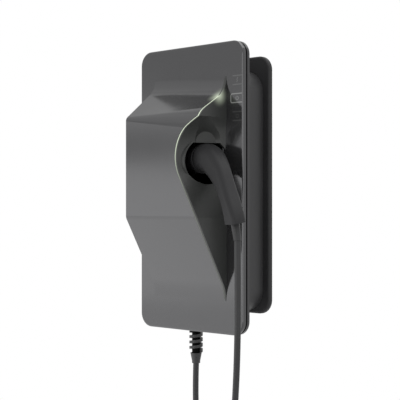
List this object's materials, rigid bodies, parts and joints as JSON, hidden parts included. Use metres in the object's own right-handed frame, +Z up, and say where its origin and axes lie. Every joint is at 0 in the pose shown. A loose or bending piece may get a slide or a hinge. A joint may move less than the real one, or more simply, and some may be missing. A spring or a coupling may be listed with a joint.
{
  "type": "electric vehicle wall charger",
  "caption": "Wall-mounted electric car charger with a humped dark cover, a lit scoop that holds its plug, and a coiled charging cable.",
  "frame": {"origin": "middle of the wall plate's four wall holes, on the wall", "axes": "+Y into the wall, +Z up, +X to the right as the user faces the box"},
  "size_m": [0.3133, 0.1915, 0.843],
  "materials": {
    "cover_plastic": "semi-gloss",
    "housing_plastic": "fine texture",
    "plate_plastic": "satin",
    "dock_plastic": "gloss",
    "plug_plastic": "satin",
    "gland_plastic": "satin",
    "rubber": "matte",
    "cable_jacket": "matte",
    "light_plastic": "frosted",
    "circuit_board": "satin",
    "component_plastic": "matte",
    "terminal_plastic": "matte",
    "contact_metal": "silver plated",
    "screw_steel": "zinc plated"
  },
  "bodies": {
    "root": {"wall_plate": "plate_plastic", "rear_housing": "housing_plastic", "front_frame": "cover_plastic", "cover_gasket": "rubber", "front_cover": "cover_plastic", "light_guide": "light_plastic", "status_frames": "light_plastic", "dock_insert": "dock_plastic", "plug_handle": "plug_plastic", "plug_nose": "plug_plastic", "plug_carrier": "plug_plastic", "plug_contacts": "contact_metal", "plug_boot": "rubber", "gland_body": "gland_plastic", "gland_locknut": "gland_plastic", "bend_relief": "gland_plastic", "cable_tail": "cable_jacket", "cable_gland_run": "cable_jacket", "cable_coil": "cable_jacket", "cable_plug_run": "cable_jacket", "coil_strap": "rubber", "main_board": "circuit_board", "terminal_block": "terminal_plastic", "output_terminal": "terminal_plastic", "power_relay_1": "component_plastic", "power_relay_2": "component_plastic", "current_sensor": "component_plastic", "power_supply": "component_plastic", "control_card": "circuit_board", "light_board": "circuit_board", "status_board": "circuit_board", "supply_grommet": "rubber", "cover_screws": "screw_steel", "frame_screws": "screw_steel", "plate_screws": "screw_steel", "board_screws": "screw_steel"}
  },
  "joints": []
}
